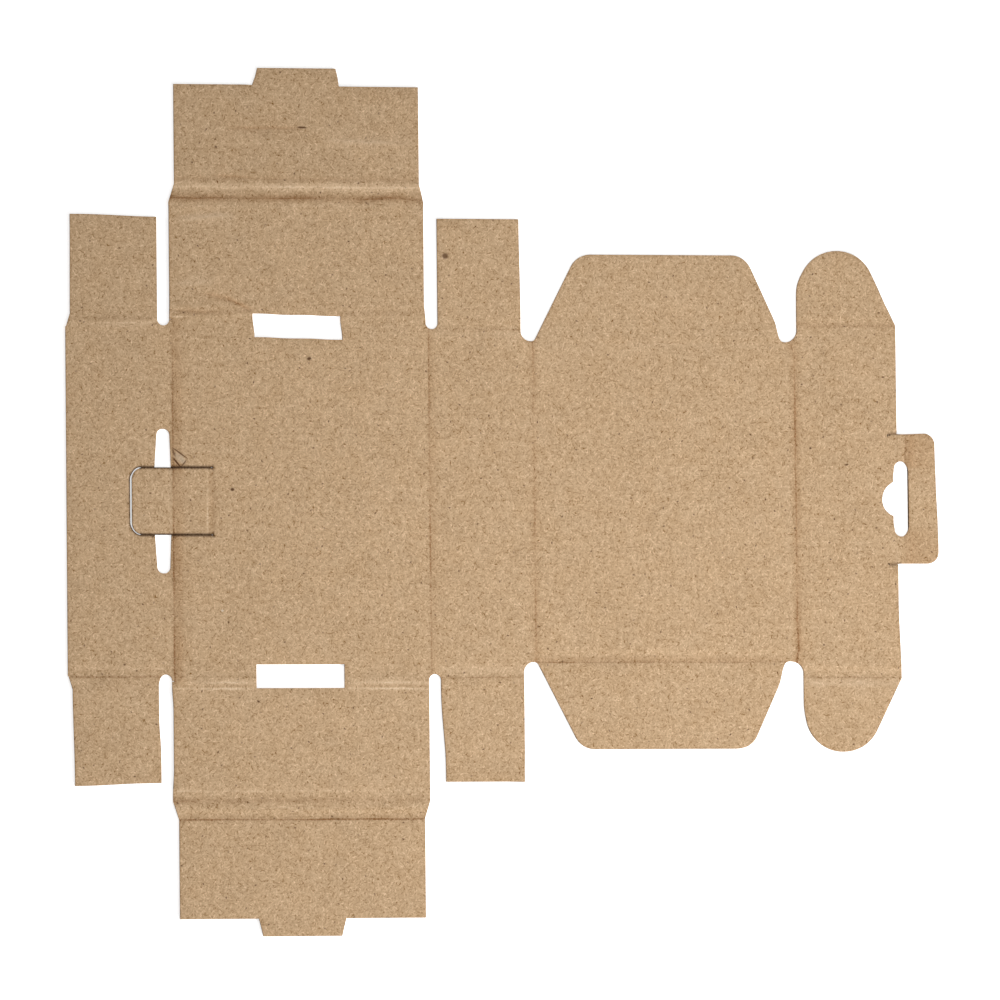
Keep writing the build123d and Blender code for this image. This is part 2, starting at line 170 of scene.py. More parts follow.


# Each style holds its steps, then its marks, then its shades. The marks hold painted shade and
# painted light as well as crushed and scuffed paper; the shades are painted shade, and painted light
# where their amount is below zero. Places run across the fold line, from low to high X or Y, and
# start on the line.
STYLES = {
    "front_wall_fold": Style(
        (Step(-3, -0.12, 0.9), Step(0.1, 0.2, 0.45), Step(1.8, 0.12, 1)),
        (Mark(0.1, 0.5, 0.42),), (Mark(0.4, 0.9, 0.11), Mark(2.1, 1.9, 0.18)), ends=(1.5, 0.95)),
    "lock_tip_fold": Style(
        (Step(-2.6, -0.14, 0.7), Step(0.2, 0.22, 0.45)),
        (Mark(0.1, 0.5, 0.5),), (Mark(-1.3, 0.8, -0.1), Mark(0.4, 0.8, 0.16), Mark(2.6, 2.4, 0.16))),
    "lock_tab_fold": Style(
        (Step(-0.8, -0.2, 0.4), Step(2, 0.2, 0.6)),
        (Mark(-0.8, 0.6, -0.42),), (Mark(1.4, 1.2, 0.17),)),
    "back_wall_fold": Style(
        (Step(-3.2, -0.1, 0.8), Step(0, 0.2, 0.5)),
        (Mark(-0.15, 0.55, 0.48),), (Mark(0.2, 1, 0.08), Mark(1.6, 1.2, 0.08))),
    "lid_fold": Style(
        (Step(-3.4, -0.08, 0.8), Step(-0.2, 0.18, 0.6)),
        (Mark(-0.2, 0.6, 0.42),), (Mark(0, 1.5, 0.15),)),
    "tuck_panel_fold": Style(
        (Step(-3.4, -0.08, 0.8), Step(0.1, 0.2, 0.55)),
        (Mark(-0.1, 0.55, 0.52),), (Mark(-3, 1.2, -0.05), Mark(0.1, 1.7, 0.24))),
    "tongue_bridge_fold": Style(
        (Step(-0.9, -0.08, 0.4), Step(0.9, 0.08, 0.4)),
        (Mark(-1.1, 0.4, -0.25), Mark(1.1, 0.4, -0.25)), ()),
    "tongue_fold": Style(
        (Step(-2.4, -0.18, 0.5), Step(-0.7, 0.24, 0.5)),
        (Mark(-0.9, 0.45, 0.46),), (Mark(1.1, 2.2, 0.2), Mark(6.5, 6.5, 0.15)), ends=(0.8, 1.1)),
    "left_outer_wall_fold": Style(
        (Step(0.3, 0.12, 0.45), Step(2.5, -0.16, 0.6), Step(4.4, 0.12, 0.5), Step(6.6, -0.08, 0.9)),
        (Mark(0.5, 0.45, -0.35), Mark(4.5, 0.4, -0.3)), (Mark(2.4, 0.9, 0.08),), ends=(1.4, 0.5)),
    "right_outer_wall_fold": Style(
        (Step(-2.9, -0.06, 0.4), Step(-1.8, 0.17, 0.4), Step(-0.7, -0.1, 0.4),
         Step(0.7, 0.17, 0.45), Step(3.6, -0.18, 1)),
        (Mark(-1.8, 0.6, -0.42), Mark(0.7, 0.55, -0.38)),
        (Mark(-1.8, 0.7, -0.1), Mark(-0.6, 0.5, 0.08), Mark(0.9, 1.2, -0.12)), wander=0.28),
    "left_rim_fold": Style(
        (Step(-2.8, 0.1, 0.8), Step(1.7, -0.48, 1.1)),
        (Mark(1.9, 0.6, 0.56),), (Mark(-1.2, 1.3, -0.05), Mark(1.9, 1.7, 0.38)),
        wander=0.55, ends=(1.1, 0.8)),
    "left_inner_wall_fold": Style(
        (Step(-1.4, 0.46, 0.75), Step(1.6, -0.12, 0.5)),
        (Mark(-1.2, 0.6, -0.42), Mark(2, 0.5, 0.22)), (Mark(-1.3, 1.5, -0.17), Mark(2.3, 1.1, 0.12))),
    "right_rim_fold": Style(
        (Step(0.1, -0.3, 0.8), Step(4.4, 0.26, 0.7)),
        (Mark(-0.3, 0.45, 0.33), Mark(-2.7, 0.45, -0.3), Mark(4.3, 0.5, -0.3)),
        (Mark(0.3, 1.2, 0.13), Mark(4.4, 1, -0.1)), ends=(1.6, 0.35)),
    "right_inner_wall_fold": Style(
        (Step(-0.05, -0.36, 0.45), Step(3.2, 0.36, 0.8)),
        (Mark(-0.1, 0.5, 0.6),), (Mark(0.5, 1.2, 0.12),), wander=0.22),
    "front_left_flap_fold": Style(
        (Step(-1.2, 0.1, 0.6), Step(1.5, 0.2, 0.6), Step(3.3, -0.18, 0.7)),
        (Mark(1.5, 0.45, -0.3), Mark(3.2, 0.4, 0.2)), (Mark(1.2, 0.9, -0.1), Mark(3.4, 0.8, 0.06))),
    "front_right_flap_fold": Style(
        (Step(-0.3, -0.24, 0.42), Step(4, 0.24, 0.8)),
        (Mark(-0.4, 0.52, 0.51),), (Mark(-0.2, 0.8, 0.07), Mark(3.6, 1.2, -0.06))),
    "back_left_flap_fold": Style(
        (Step(-0.7, -0.12, 0.4), Step(2, 0.1, 0.8)),
        (Mark(-0.6, 0.35, 0.42),), (Mark(-3, 1.4, -0.06),)),
    "back_right_flap_fold": Style(
        (Step(-1, -0.2, 0.45), Step(3, 0.28, 1.2)),
        (Mark(-1, 0.42, 0.5),), (Mark(2.2, 1.9, -0.13),)),
    "lid_left_flap_fold": Style(
        (Step(0, 0.07, 0.5), Step(3, -0.07, 1)),
        (Mark(0, 0.45, -0.2),), (Mark(-2, 1, -0.04),)),
    "lid_right_flap_fold": Style(
        (Step(0, -0.24, 0.42), Step(4.2, 0.26, 0.9)),
        (Mark(0.15, 0.52, 0.47),), (Mark(1.1, 1.2, 0.15),)),
    "tuck_left_ear_fold": Style(
        (Step(-0.4, -0.13, 0.45), Step(2.5, 0.13, 0.9)),
        (Mark(-0.5, 0.45, 0.4),), (Mark(-0.1, 1.2, 0.1),)),
    "tuck_right_ear_fold": Style(
        (Step(0.3, -0.22, 0.4), Step(4.2, 0.26, 0.9)),
        (Mark(0.4, 0.45, 0.44),), (Mark(-2, 1.7, -0.17), Mark(3.4, 1.4, -0.04))),
}


@dataclass
class Spot:
    """A bit of bark, a hair or a scuff at a place on the inside face: above zero it is dark."""

    x: float
    y: float
    half_length: float
    half_width: float
    angle: float
    amount: float


SPOTS = (
    Spot(62.2, 103.9, 1.4, 1.35, 0, 0.85),
    Spot(3.6, 60.2, 1.05, 0.7, 12, 1),
    Spot(1.4, 158, 2.2, 0.48, -3, 0.95),
    Spot(-29.6, 4.9, 0.9, 0.75, 0, 1),
    Spot(-35.4, 149.5, 0.65, 0.5, -20, 0.85),
    Spot(-39.5, 156.8, 1.1, 0.35, 50, 0.55),
    Spot(-19.3, -84.3, 0.8, 0.42, -30, 0.95),
    Spot(-76, -68.7, 0.55, 0.45, 0, 0.85),
    Spot(-34.3, -46.1, 0.6, 0.5, 0, -0.9),
    Spot(28.9, 126, 1.2, 0.34, -40, 0.6),
    Spot(232.8, 41.4, 0.5, 0.45, 0, 0.75),
    Spot(219.2, 22.8, 0.6, 0.5, 0, 0.95),
    Spot(234.9, 15.8, 0.9, 0.4, 10, 0.95),
    Spot(247.5, -11.1, 0.5, 0.45, 0, 0.7),
    Spot(224, -60.9, 0.55, 0.5, 0, 0.75),
    Spot(206.5, -2, 0.5, 0.45, 0, 0.6),
    # The next five draw a pale patch beside the lock tab's slit, with dark lines along and across it
    Spot(-52, 18.1, 3.3, 1.6, -43, -0.5),
    Spot(-54.3, 20.2, 1.9, 0.5, -68, 0.6),
    Spot(-51.8, 20.2, 4.5, 0.36, -36, 0.85),
    Spot(-53.1, 16.2, 2.9, 0.42, -50, 1),
    Spot(-50.1, 15.9, 2.1, 0.34, 52, 0.8),
)


@dataclass
class Wrinkle:
    """A short line pressed into the inside face or raised from it, with its own line of crushed paper
    and a soft painted shade, which are painted light where its amount is below zero.
    """

    x0: float
    y0: float
    x1: float
    y1: float
    rise: float
    soft: float
    amount: float

    def line(self):
        """Its start, its direction and its length."""
        start = np.array([self.x0, self.y0])
        span = np.array([self.x1, self.y1]) - start
        length = math.hypot(*span)
        return start, span / length, length

    def rows(self):
        """Mesh points along it, in rows."""
        start, along, length = self.line()
        aside = np.array([-along[1], along[0]])
        t = np.arange(0.0, length, WRINKLE_STEP)
        return np.concatenate([start + np.outer(t, along) + row * self.soft * aside
                               for row in WRINKLE_ROWS])


WRINKLES = (
    Wrinkle(-42, 87.6, -28.5, 85, -0.2, 0.9, 0.34),
    Wrinkle(-32.2, 86, -20, 79.8, -0.26, 0.8, 0.5),
    Wrinkle(-20.4, 70, -20.3, 33, 0.06, 0.8, 0),
    Wrinkle(-32, 157.2, 4, 157.9, -0.14, 0.8, 0.36),
    Wrinkle(10, 152.6, 49, 151.2, 0.14, 0.9, -0.32),
    Wrinkle(-54, 118.6, -27, 121, 0.14, 1.1, -0.34),
    Wrinkle(-54, 80.4, -33, 79.2, -0.12, 0.8, 0.3),
    Wrinkle(-54, 91.5, -36, 92.2, 0.12, 1.2, -0.25),
    Wrinkle(-38, 137.4, -20, 136.6, -0.1, 0.6, 0.3),
)


@dataclass
class Fold:
    """One fold line of the blank, from the frame's joint."""

    name: str
    parent: str
    child: str
    across: int
    place: float
    into: int
    spans: list = field(default_factory=list)

    @property
    def style(self):
        return STYLES[self.name]


def folds_from_frame():
    """The fold lines: across is 0 where a line lies at a fixed X and 1 where it lies at a fixed Y."""
    folds = []
    for joint in frame["joints"]:
        across = 0 if abs(joint["axis"][1]) > 0.5 else 1
        low, high = body_box(joint["child"])
        place = joint["pos_m"][across] / MM
        into = 1 if (low[across] + high[across]) / 2 > place else -1
        folds.append(Fold(joint["name"], joint["parent"], joint["child"], across, place, into))
    return folds


def nodes_of(body):
    """The names of the CAD nodes of one panel."""
    return frame["record"]["behaviour"]["bodies"][body]


def body_box(body):
    """Lowest and highest corner of a panel, in millimetres."""
    boxes = [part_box(node) for node in nodes_of(body)]
    low = np.min([box[0] for box in boxes], axis=0) / MM
    high = np.max([box[1] for box in boxes], axis=0) / MM
    return low, high


def edges_at_height(node, height):
    """Outline, as pairs of XY points, of a CAD node's level faces at one height."""
    mesh = frame["nodes"][node].data
    points = np.array([vertex.co for vertex in mesh.vertices]) / MM
    level = np.abs(points[:, 2] - height) < TOLERANCE
    count = {}
    for polygon in mesh.polygons:
        corners = list(polygon.vertices)
        if not all(level[corner] for corner in corners):
            continue
        keys = [tuple(np.round(points[corner, :2], 3)) for corner in corners]
        for start, end in zip(keys, keys[1:] + keys[:1]):
            edge = tuple(sorted((start, end)))
            count[edge] = count.get(edge, 0) + 1
    return np.array([edge for edge, times in count.items() if times == 1])


def inside(points, edges):
    """True for each point that lies inside the closed outline that the edges make."""
    result = np.zeros(len(points), bool)
    low = edges.min(axis=(0, 1))
    high = edges.max(axis=(0, 1))
    near = np.all((points >= low) & (points <= high), axis=1)
    chosen = points[near]
    x0, y0 = edges[:, 0, 0], edges[:, 0, 1]
    x1, y1 = edges[:, 1, 0], edges[:, 1, 1]
    rise = np.where(y1 == y0, 1.0, y1 - y0)
    odd = np.zeros(len(chosen), bool)
    batch = 4096
    for start in range(0, len(chosen), batch):
        x = chosen[start:start + batch, 0, None]
        y = chosen[start:start + batch, 1, None]
        crosses = (y0 > y) != (y1 > y)
        hit = x0 + (y - y0) / rise * (x1 - x0)
        odd[start:start + batch] = (crosses & (x < hit)).sum(axis=1) % 2 == 1
    result[near] = odd
    return result


class Blank:
    """The flat outline of the whole box, panel by panel."""

    def __init__(self):
        self.bodies = list(frame["bodies"])
        self.outlines = {}
        for body in self.bodies:
            nodes = nodes_of(body)
            lower = [edges_at_height(node, 0) for node in nodes if not node.endswith(LAYERS[1:])]
            upper = [edges_at_height(node, BOARD) for node in nodes if not node.endswith(LAYERS[:2])]
            self.outlines[body] = [edges for edges in lower + upper if len(edges)]

    def panel_at(self, points):
        """Index of the panel under each point, or -1 off the blank."""
        owner = np.full(len(points), -1)
        for index, body in enumerate(self.bodies):
            for edges in self.outlines[body]:
                free = owner < 0
                owner[free] = np.where(inside(points[free], edges), index, -1)
        return owner


def split_edges(edges, step):
    """The edges cut into pieces no longer than the step."""
    pieces = []
    for start, end in edges:
        count = max(1, math.ceil(np.linalg.norm(end - start) / step))
        stops = [start + (end - start) * share / count for share in range(count + 1)]
        pieces += list(zip(stops, stops[1:]))
    return np.array(pieces)


@dataclass
class Edges:
    """The blank's cut edges, the way into the paper from each, its panel, and its fold edges."""

    cut: np.ndarray
    inward: np.ndarray
    owner: np.ndarray
    folded: np.ndarray


def sort_edges(blank, folds):
    """Divides the panels' outlines into cut edges and fold edges, and notes where each fold runs."""
    side_step = 0.03
    pieces = np.concatenate([split_edges(edges, CUT_STEP) for body in blank.bodies
                             for edges in blank.outlines[body]])
    middle = pieces.mean(axis=1)
    along = pieces[:, 1] - pieces[:, 0]
    length = np.linalg.norm(along, axis=1, keepdims=True)
    normal = np.stack([-along[:, 1], along[:, 0]], axis=1) / length
    one = blank.panel_at(middle + normal * side_step)
    other = blank.panel_at(middle - normal * side_step)
    cut = (one < 0) != (other < 0)
    inward = np.where((one >= 0)[:, None], normal, -normal)
    owner = np.maximum(one, other)
    shared = (one >= 0) & (other >= 0) & (one != other)
    by_pair = {frozenset((fold.parent, fold.child)): fold for fold in folds}
    for index in np.flatnonzero(shared):
        pair = frozenset((blank.bodies[one[index]], blank.bodies[other[index]]))
        fold = by_pair.get(pair)
        if fold and abs(middle[index, fold.across] - fold.place) < side_step:
            ends = sorted(pieces[index, :, 1 - fold.across])
            fold.spans.append(ends)
    for fold in folds:
        fold.spans = joined(fold.spans)
    return Edges(pieces[cut], inward[cut], owner[cut], pieces[shared])


def joined(spans):
    """Spans along one line, with those that touch made into one."""
    touching = 0.05
    merged = []
    for low, high in sorted(spans):
        if merged and low <= merged[-1][1] + touching:
            merged[-1][1] = max(merged[-1][1], high)
        else:
            merged.append([low, high])
    return merged


def line_noise(values, wavelength, seed):
    """Smooth noise along a line, from about -1 to 1."""
    return np.array([noise.noise(Vector((value / wavelength, seed, 0.5))) for value in values])


def wander_of(fold, t):
    """How far the crease strays from its fold line at each place along it."""
    slow_wave = 13
    quick_wave = 4.3
    quick_share = 0.6
    slow_seed = fold.place / 2.7
    quick_seed = slow_seed + 9
    slow = line_noise(t, slow_wave, slow_seed)
    quick = line_noise(t, quick_wave, quick_seed)
    return fold.style.wander * (slow + quick_share * quick)


def rows_of(fold):
    """Distances from the fold line at which its crease needs mesh points."""
    rows = [0.0, -FOLD_REACH, FOLD_REACH]
    for step in fold.style.steps:
        rows += [step.place + step.soft * share for share in STEP_ROWS]
    for mark in fold.style.marks + fold.style.shades:
        rows += [mark.place + mark.half_width * share for share in MARK_ROWS]
    rows.sort()
    kept = [rows[0]]
    for row in rows:
        if row - kept[-1] > ROW_GAP:
            kept.append(row)
    return kept


def crease_points(fold):
    """Mesh points along one crease, in rows that follow its wander."""
    spots = []
    for low, high in fold.spans:
        count = max(2, math.ceil((high - low) / FOLD_STEP))
        step = (high - low) / count
        t = np.linspace(low - step, high + step, count + 3)
        wander = wander_of(fold, t)
        for row in rows_of(fold):
            line = np.zeros((len(t), 2))
            line[:, fold.across] = fold.place + row + wander
            line[:, 1 - fold.across] = t
            spots.append(line)
    return np.concatenate(spots)


def spread_points(blank, folds, edges):
    """Mesh points: rows along the cut edges and the folds, and a field of hexagons between them."""
    accepted = [edges.cut[:, 0], edges.cut[:, 1]]
    middle = edges.cut.mean(axis=1)
    for row in CUT_ROWS:
        accepted = with_room(blank, accepted, middle + edges.inward * row, row * CLOSEST_SHARE)
    for wrinkle in WRINKLES:
        accepted = with_room(blank, accepted, wrinkle.rows(), WRINKLE_ROOM)
    for fold in folds:
        accepted = with_room(blank, accepted, crease_points(fold), CREASE_ROOM)
    low = [cad_low.x / MM, cad_low.y / MM]
    high = [cad_high.x / MM, cad_high.y / MM]
    row_step = FIELD_STEP * math.sqrt(3) / 2
    field_points = []
    for index, y in enumerate(np.arange(low[1], high[1], row_step)):
        shift = FIELD_STEP / 2 * (index % 2)
        field_points += [(x, y) for x in np.arange(low[0] + shift, high[0], FIELD_STEP)]
    accepted = with_room(blank, accepted, np.array(field_points), FIELD_STEP * CLOSEST_SHARE)
    return np.concatenate(accepted)


def with_room(blank, accepted, wanted, room):
    """The accepted points and those of the wanted ones that lie on the blank with room around them."""
    wanted = wanted[blank.panel_at(wanted) >= 0]
    near = distance_to(tree_of(np.concatenate(accepted)), wanted)
    return accepted + [wanted[near >= room]]


def tree_of(samples):
    """Search tree over points of the blank."""
    tree = kdtree.KDTree(len(samples))
    for index, sample in enumerate(samples):
        tree.insert((sample[0], sample[1], 0), index)
    tree.balance()
    return tree


def distance_to(tree, points):
    """Distance from each point to the nearest of the tree's."""
    return np.array([tree.find((point[0], point[1], 0))[2] for point in points])


def triangulate(blank, folds, edges):
    """Triangles over the whole blank, which keep to its cut edges and fold lines."""
    loose = spread_points(blank, folds, edges)
    lines = np.concatenate([edges.cut, edges.folded])
    points = [Vector(point) for point in np.concatenate([lines.reshape(-1, 2), loose])]
    pairs = [(2 * index, 2 * index + 1) for index in range(len(lines))]
    made = geometry.delaunay_2d_cdt(points, pairs, [], 0, TOLERANCE)
    corners = np.array([tuple(point) for point in made[0]])
    triangles = np.array(made[2])
    a, b, c = (corners[triangles[:, k]] for k in range(3))
    area = (b[:, 0] - a[:, 0]) * (c[:, 1] - a[:, 1]) - (b[:, 1] - a[:, 1]) * (c[:, 0] - a[:, 0])
    triangles[area < 0] = triangles[area < 0][:, ::-1]
    owner = blank.panel_at((a + b + c) / 3)
    sliver = 1e-5
    keep = (owner >= 0) & (np.abs(area) > sliver)
    return corners, triangles[keep], owner[keep]


def beyond(fold, t):
    """How far each place lies past the ends of the fold line."""
    return np.min([np.maximum(np.maximum(low - t, t - high), 0) for low, high in fold.spans], axis=0)


@dataclass
class Surface:
    """The paper at a set of points: its height, where the board is closed at a fold, and the values
    that its material reads."""

    top: np.ndarray
    filled: np.ndarray
    marks: dict


class Relief:
    """Height of the inside face, and its crushed and scuffed lines, painted shade and painted light,
    anywhere on the blank.
    """

    def __init__(self, blank, folds, edges):
        self.folds = folds
        self.cut = tree_of(split_edges(edges.cut, EDGE_SAMPLE).reshape(-1, 2))
        self.slits = [(slit.dark, tree_of(slit_samples(blank, edges, slit))) for slit in SLITS]

    def at(self, points):
        height, ragged_wear_and_shading, shade, filled, slit = np.zeros((5, len(points)))
        for fold in self.folds:
            add_crease(fold, points, height, ragged_wear_and_shading, shade, filled)
        for wrinkle in WRINKLES:
            add_wrinkle(wrinkle, points, height, ragged_wear_and_shading, shade)
        edge = np.exp(-distance_to(self.cut, points) / CRUSH_REACH)
        # Painted shade in the slits and round the lock tip's end, with their crushed edges
        slit_gain = 1.5
        for dark, tree in self.slits:
            close = bell(distance_to(tree, points), SLIT_REACH)
            slit = np.maximum(slit, dark * np.clip(slit_gain * close, 0, 1))
        top = BOARD + height + unevenness(points) - CRUSH_DEPTH * edge
        return Surface(top, filled, {"ragged_wear_and_shading": ragged_wear_and_shading, "shade": shade, "edge": edge, "slit": slit})


def slit_samples(blank, edges, slit):
    """Points along the edges of one slit, with those round the lock tip's end if it is the lock tab's."""
    beside = 0.35
    tip_low = -75
    tip_high = -66
    tip_half = 15
    middle = edges.cut.mean(axis=1)
    chosen = slit.near(middle, beside)
    if slit.low < 0:
        round_tip = (middle[:, 0] < tip_high) & (middle[:, 0] > tip_low) & (np.abs(middle[:, 1]) < tip_half)
        chosen |= round_tip & (edges.owner == blank.bodies.index("front_wall"))
    return split_edges(edges.cut[chosen], EDGE_SAMPLE).reshape(-1, 2)


def add_crease(fold, points, height, ragged_wear_and_shading, shade, filled):
    """Adds one crease's steps, its marks with their painted shade and painted light, and its painted
    shades to the values at the points.
    """
    reach = 14.0
    end_reach = 5.0
    end_fade = 1.3
    strength_wave = 17
    strength_seed = fold.place / 3.1 + 21
    strength_swing = 0.45
    fill_slope = 0.3
    fill_past = 0.5
    t = points[:, 1 - fold.across]
    past = beyond(fold, t)
    close = np.flatnonzero((np.abs(points[:, fold.across] - fold.place) < reach) & (past < end_reach))
    if not len(close):
        return
    t = t[close]
    from_line = points[close, fold.across] - fold.place
    s = from_line - wander_of(fold, t)
    low, high = fold.spans[0][0], fold.spans[-1][1]
    share = np.clip((t - low) / (high - low), 0, 1)
    strength = fold.style.ends[0] + (fold.style.ends[1] - fold.style.ends[0]) * share
    strength *= 1 + strength_swing * line_noise(t, strength_wave, strength_seed)
    fade = bell(past[close], end_fade) * strength
    total = sum(step.rise for step in fold.style.steps)
    for step in fold.style.steps:
        height[close] += fade * step.rise / 2 * (1 + np.tanh((s - step.place) / step.soft))
    height[close] -= fade * total * np.clip((s + reach) / (2 * reach), 0, 1)
    # Marks are crushed and scuffed paper with painted shade and painted light in them; shades are painted
    # shade, and painted light where their amount is below zero
    for mark in fold.style.marks:
        keep_stronger(ragged_wear_and_shading, close, mark.amount * fade * mark.profile(s))
    for soft in fold.style.shades:
        shade[close] += soft.amount * fade * soft.profile(s)
    flat = np.clip((FOLD_HALF - np.abs(from_line)) / fill_slope, 0, 1)
    filled[close] = np.maximum(filled[close], flat * (past[close] < fill_past))


def keep_stronger(values, chosen, others):
    """At the chosen places, keeps whichever of the two values lies further from zero."""
    stronger = np.abs(others) > np.abs(values[chosen])
    values[chosen] = np.where(stronger, others, values[chosen])


def add_wrinkle(wrinkle, points, height, ragged_wear_and_shading, shade):
    """Lowers or raises the face along a short wrinkle, and adds its line of crushed paper with painted
    shade and a soft painted shade beside it, painted light where its amount is below zero.
    """
    reach = 5
    end_power = 0.6
    wander = 0.3
    wander_wave = 5.0
    wear_and_shading_half_width = 0.45
    shade_share = 0.7
    shade_spread = 1.3
    start, along, length = wrinkle.line()
    t = (points - start) @ along
    s = (points - start) @ np.array([-along[1], along[0]])
    near = np.flatnonzero((np.abs(s) < reach * wrinkle.soft) & (t > 0) & (t < length))
    share = t[near] / length
    fade = np.sin(np.pi * share) ** end_power
    bend = s[near] - wander * line_noise(t[near], wander_wave, wrinkle.x0)
    wear_and_shading = wrinkle.amount * fade
    height[near] += wrinkle.rise * fade * bell(bend, wrinkle.soft)
    # A line of crushed paper with painted shade, and a wider painted shade; both turn to painted light
    # where the amount is below zero
    keep_stronger(ragged_wear_and_shading, near, wear_and_shading * bell(bend, wear_and_shading_half_width))
    shade[near] += shade_share * wear_and_shading * bell(bend, shade_spread * wrinkle.soft)


def unevenness(points):
    """Slow rise and fall of the inside face, drawn out along X as the paper was made."""
    total = np.zeros(len(points))
    for long, short, seed, share in UNEVEN_WAVES:
        total += share * np.array([noise.noise(Vector((x / long, y / short, seed))) for x, y in points])
    return UNEVEN * total


@dataclass
class Nudge:
    """A small local shift of the sheet: full inside a rectangle, fading out over a margin on each side.
    The margins are those before and after it in X, then before and after it in Y."""

    low: tuple
    high: tuple
    margins: tuple
    shift: tuple

    def share(self, points):
        share = np.ones(len(points))
        for axis in (0, 1):
            value = points[:, axis]
            before, after = self.margins[2 * axis:2 * axis + 2]
            rising = np.clip(1 - (self.low[axis] - value) / before, 0, 1)
            falling = np.clip(1 - (value - self.high[axis]) / after, 0, 1)
            linear = np.minimum(rising, falling)
            share *= linear * linear * (3 - 2 * linear)
        return share


# What the real sheet's die and handling did
NUDGES = (
    # The tongue sits off centre and leans, and the ends of its slot are narrower
    Nudge((256, -31), (280, 31), (9, 1, 6, 6), (0, 1.25)),
    Nudge((272, 20), (276, 30), (12, 1, 30, 1), (-0.8, 0.35)),
    Nudge((272, -30), (276, -20), (12, 1, 1, 20), (0.4, 0)),
    Nudge((254, 13.5), (256.5, 17.5), (3, 3, 4, 4), (0.5, 0)),
    Nudge((254, -17.5), (256.5, -13.5), (3, 3, 4, 4), (0.5, 0)),
    Nudge((260.8, 14.5), (262.5, 17.5), (2, 2, 3, 3), (-0.5, 0)),
    Nudge((260.8, -17.5), (262.5, -14.5), (2, 2, 3, 3), (-0.6, 0)),
    Nudge((249, -2), (252, 4), (3, 3, 4, 4), (-0.2, 0.4)),
    # Corner flaps: some stand a little taller, lean or are narrower at their ends
    Nudge((-98, 118), (-60, 125), (1, 3, 40, 1), (0, 0.3)),
    Nudge((-98, 118), (-94, 125), (1, 34, 40, 1), (0.2, 1)),
    Nudge((57, 117), (97, 125), (2, 1, 40, 1), (0, 0.85)),
    Nudge((90, 117), (97, 125), (30, 1, 36, 1), (-0.45, 0)),
    Nudge((57, -124), (63, -117), (1, 28, 1, 38), (2, 0)),
    Nudge((57, -124), (94, -116), (1, 1, 1, 12), (-0.2, 0.5)),
    Nudge((-98, -124), (-94, -117), (1, 34, 1, 38), (0.7, 0)),
    Nudge((-64, -124), (-58, -116), (34, 1, 1, 30), (0.3, 1.1)),
    # Ears and the lower corner of the lid and the tuck panel
    Nudge((208, 66), (212, 88), (4, 12, 3, 12), (-1.4, 0)),
    Nudge((222, 98), (250, 110), (14, 1, 20, 1), (0.3, 0.4)),
    Nudge((216, -112), (258, -76), (9, 1, 1, 34), (0.9, 0.3)),
    Nudge((208, -86), (213, -66), (4, 8, 8, 3), (-0.9, 0)),
    Nudge((192, -104), (206, -80), (20, 1, 1, 10), (0.6, 0)),
    # Notches beside the outer walls
    Nudge((-62, 70), (-56, 75), (4, 4, 4, 4), (0, 1.1)),
    Nudge((-57, 84), (-54, 122), (1, 12, 6, 6), (0.1, 0)),
    Nudge((49, 84), (55, 124), (14, 0.8, 8, 8), (-0.6, 0)),
    Nudge((-54, 172), (-24, 178), (1, 10, 30, 1), (0, 0.5)),
    Nudge((-20, 180), (20, 184), (8, 8, 6, 1), (0.5, 0.2)),
    Nudge((-56.5, -112), (-53, -88), (0.8, 10, 12, 10), (0.5, 0)),
    Nudge((-63, -92), (-58.5, -77), (8, 0.8, 14, 2.5), (-0.5, 0)),
    # The slot of the upper side is not quite square
    Nudge((-24, 66), (-17, 81), (6, 12, 6, 6), (0, 0.5)),
    Nudge((14, 66), (20, 81), (12, 6, 6, 6), (0, -0.45)),
    Nudge((-24, 77.5), (20, 80), (6, 6, 5, 5), (-0.4, 0)),
    Nudge((-24, 66), (20, 69.5), (6, 6, 5, 5), (0.4, 0)),
    # The end of the lock tip has drawn back from the hole that it was cut from
    Nudge((-72.65, -10), (-71, 10), (0.2, 3, 5, 5), (0.22, 0)),
)


@dataclass
class Slit:
    """A cut along X, at the same distance on both sides of the middle, whose edges close up again,
    and along which the paper is painted more or less dark, for crushed edges and the painted shade in
    the slit."""

    line: float
    low: float
    high: float
    closing: float
    dark: float

    def near(self, points, room):
        """True for points on the cut's two edges."""
        aside = np.abs(np.abs(points[:, 1]) - self.line) < room
        return aside & (points[:, 0] > self.low) & (points[:, 0] < self.high)


SLITS = (Slit(14.2, -69.0, -37.5, 0.268, 0.97), Slit(27.85, 251.5, 257.5, 0.362, 0.5))
SLIT_SOFT = 0.6
SLIT_END = 0.8


def nudged(points):
    """The points with the sheet's small in-plane irregularities."""
    moved = points.copy()
    for nudge in NUDGES:
        moved += np.outer(nudge.share(points), nudge.shift)
    return moved


def pull_of_slits(points):
    """How far the papers beside the slits are drawn along Y to close them."""
    pull = np.zeros(len(points))
    for slit in SLITS:
        after_start = np.clip((points[:, 0] - slit.low) / SLIT_END, 0, 1)
        before_end = np.clip((slit.high - points[:, 0]) / SLIT_END, 0, 1)
        from_slit = np.abs(points[:, 1]) - slit.line
        amount = slit.closing * after_start * before_end * np.exp(-np.abs(from_slit) / SLIT_SOFT)
        pull -= np.sign(points[:, 1]) * np.sign(from_slit) * amount
    return pull


def pieces_of_blank(blank, folds, points, triangles, owner):
    """Index of the body that each triangle is drawn with: a crease belongs to the panel it folds."""
    centre = points[triangles].mean(axis=1)
    piece = owner.copy()
    nearest = np.full(len(centre), FOLD_REACH)
    for fold in folds:
        parent = blank.bodies.index(fold.parent)
        child = blank.bodies.index(fold.child)
        past = beyond(fold, centre[:, 1 - fold.across])
        away = np.hypot(centre[:, fold.across] - fold.place, past)
        taken = (owner == parent) & (away < nearest)
        piece[taken] = child
        nearest[taken] = away[taken]
    return piece


